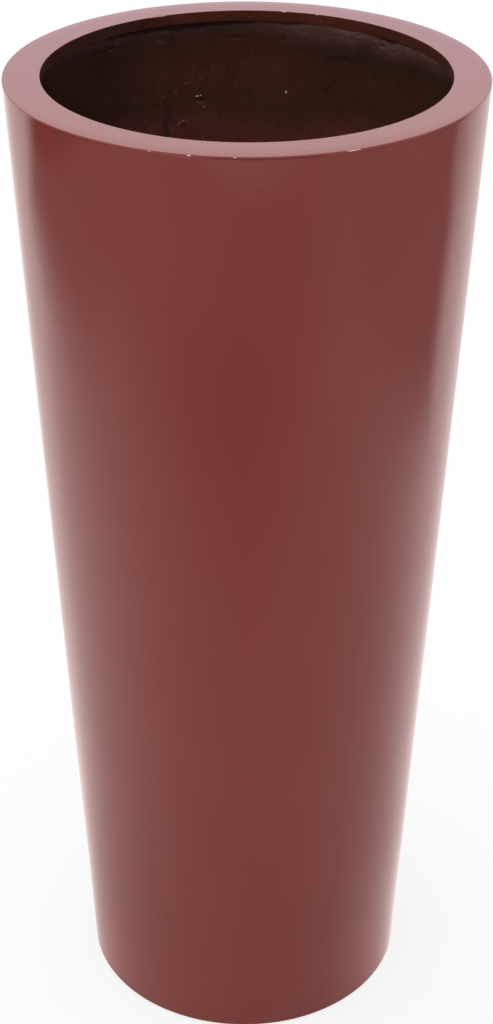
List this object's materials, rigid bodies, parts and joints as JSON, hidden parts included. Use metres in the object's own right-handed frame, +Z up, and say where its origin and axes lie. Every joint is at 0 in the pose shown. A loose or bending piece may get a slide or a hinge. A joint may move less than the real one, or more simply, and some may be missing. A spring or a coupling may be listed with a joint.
{
  "type": "tall round planter",
  "caption": "Tall tapered round floor planter with a flat rim, a lacquered shell, a raised base panel and a rubber drain bung.",
  "frame": {"origin": "on the floor, on the pot's axis", "axes": "+Z up along the axis, +X to the right of the picture, +Y away from its camera"},
  "size_m": [0.3039, 0.3038, 0.69],
  "materials": {
    "red_lacquer": "gloss lacquer over laminate",
    "brown_laminate": "rough hand-laid laminate with a brown topcoat",
    "black_rubber": "matt moulded rubber"
  },
  "bodies": {
    "planter": {"shell_left": "red_lacquer", "shell_right": "red_lacquer", "rim_ring": "red_lacquer", "rim_bead": "brown_laminate", "seam_strip_rear": "brown_laminate", "seam_strip_front": "brown_laminate", "base_panel": "brown_laminate", "base_bead": "brown_laminate", "foot_pads": "black_rubber"},
    "bung": {"drain_bung": "black_rubber"}
  },
  "joints": [
    {"name": "bung_lift", "type": "slide", "parent": "planter", "child": "bung", "axis": [0, 0, 1], "range_m": [0, 0.7]}
  ]
}
